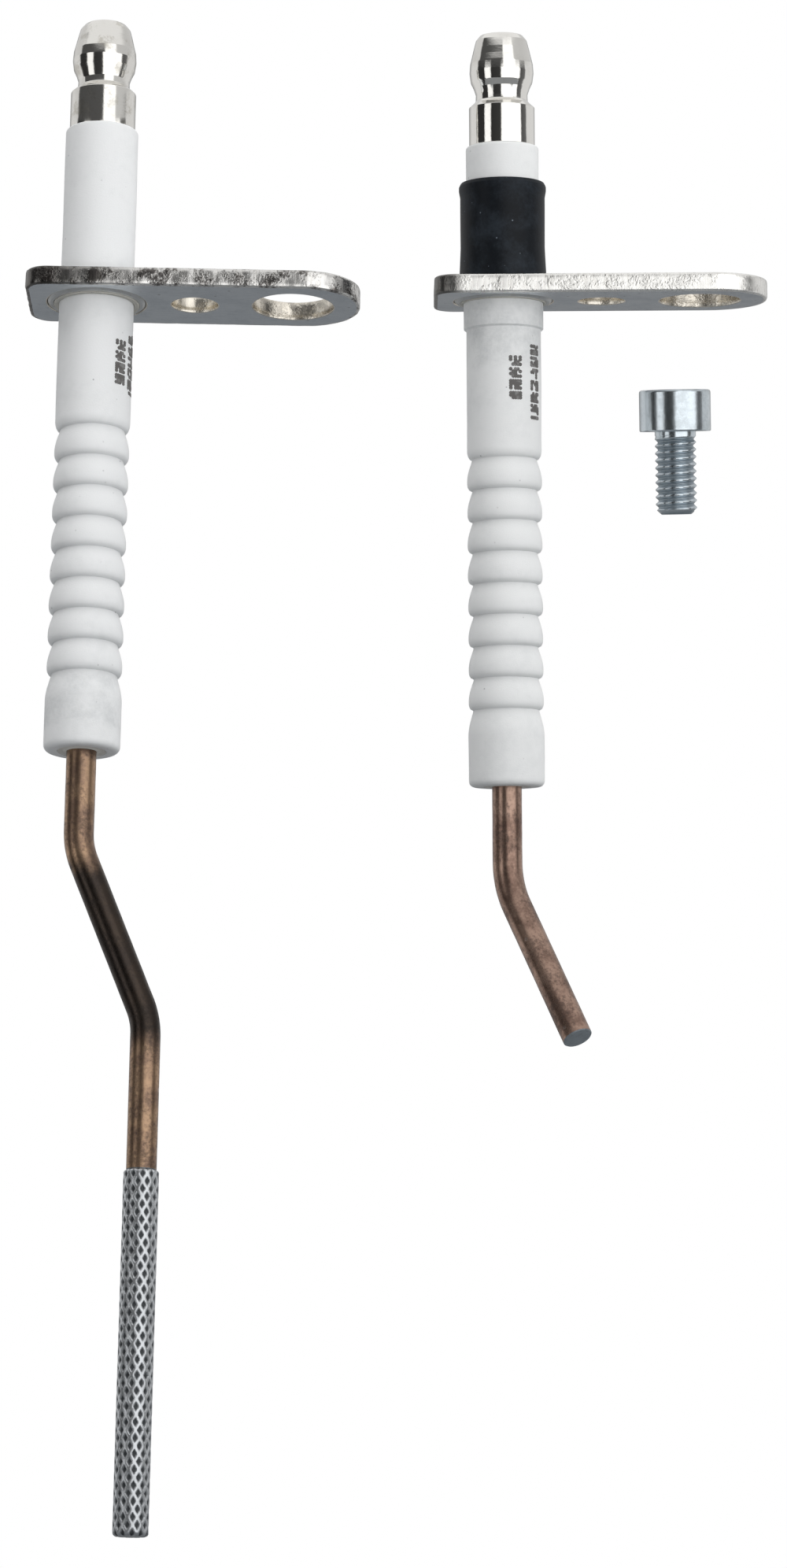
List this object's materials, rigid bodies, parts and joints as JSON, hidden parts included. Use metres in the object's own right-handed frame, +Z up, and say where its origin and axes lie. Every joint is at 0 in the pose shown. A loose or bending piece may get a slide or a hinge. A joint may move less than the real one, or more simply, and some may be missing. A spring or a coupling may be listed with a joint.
{
  "type": "ignition electrode",
  "caption": "Burner ignition electrode: ceramic insulator in a flat bracket, snap terminal and bent rod, with a matching flame-sensing electrode and fixing screw.",
  "frame": {"origin": "on the ignition electrode's axis, at the underside of its bracket", "axes": "+Z up the ignition electrode's axis to its terminal, +X along its bracket to the pass-through hole"},
  "size_m": [0.0715, 0.0275, 0.1456],
  "materials": {
    "nickel_plate": "satin nickel plate, stamped edge with grinding marks",
    "ring_steel": "dull plated steel",
    "packing": "matt mineral packing",
    "ceramic": "matt white fired ceramic with small dark specks and handling scuffs",
    "heat_resistant_rod": "oxidised brown heat-resistant alloy",
    "knurled_steel": "diamond-knurled grey steel",
    "bright_nickel": "bright turned nickel plate",
    "cement": "matt refractory cement",
    "rubber_sleeve": "matt black silicone rubber with dust",
    "zinc_steel": "blue-clear zinc plate"
  },
  "bodies": {
    "ignition_electrode": {"ignition_bracket": "nickel_plate", "ignition_clamp_ring": "ring_steel", "ignition_seal_ring": "packing", "ignition_insulator": "ceramic", "ignition_rod": "heat_resistant_rod", "ignition_terminal": "bright_nickel", "ignition_terminal_washer": "ring_steel", "ignition_upper_cement": "cement", "ignition_lower_cement": "cement"},
    "rubber_sleeve": {"ignition_rubber_sleeve": "rubber_sleeve"},
    "sensing_electrode": {"sensing_bracket": "nickel_plate", "sensing_clamp_ring": "ring_steel", "sensing_seal_ring": "packing", "sensing_insulator": "ceramic", "sensing_rod": "heat_resistant_rod", "sensing_knurled_tip": "knurled_steel", "sensing_terminal": "bright_nickel", "sensing_terminal_washer": "ring_steel", "sensing_upper_cement": "cement", "sensing_lower_cement": "cement"},
    "fixing_screw": {"fixing_screw": "zinc_steel"}
  },
  "joints": [
    {"name": "sleeve_slide", "type": "slide", "parent": "ignition_electrode", "child": "rubber_sleeve", "axis": [0, 0, 1], "range_m": [0, 0.026]},
    {"name": "sensing_lift", "type": "slide", "parent": "ignition_electrode", "child": "sensing_electrode", "axis": [0.025, 0.1582, 0.9871], "range_m": [0, 0.05]},
    {"name": "screw_lift", "type": "slide", "parent": "ignition_electrode", "child": "fixing_screw", "axis": [-0.013, -0.1271, 0.9918], "range_m": [0, 0.008]}
  ]
}
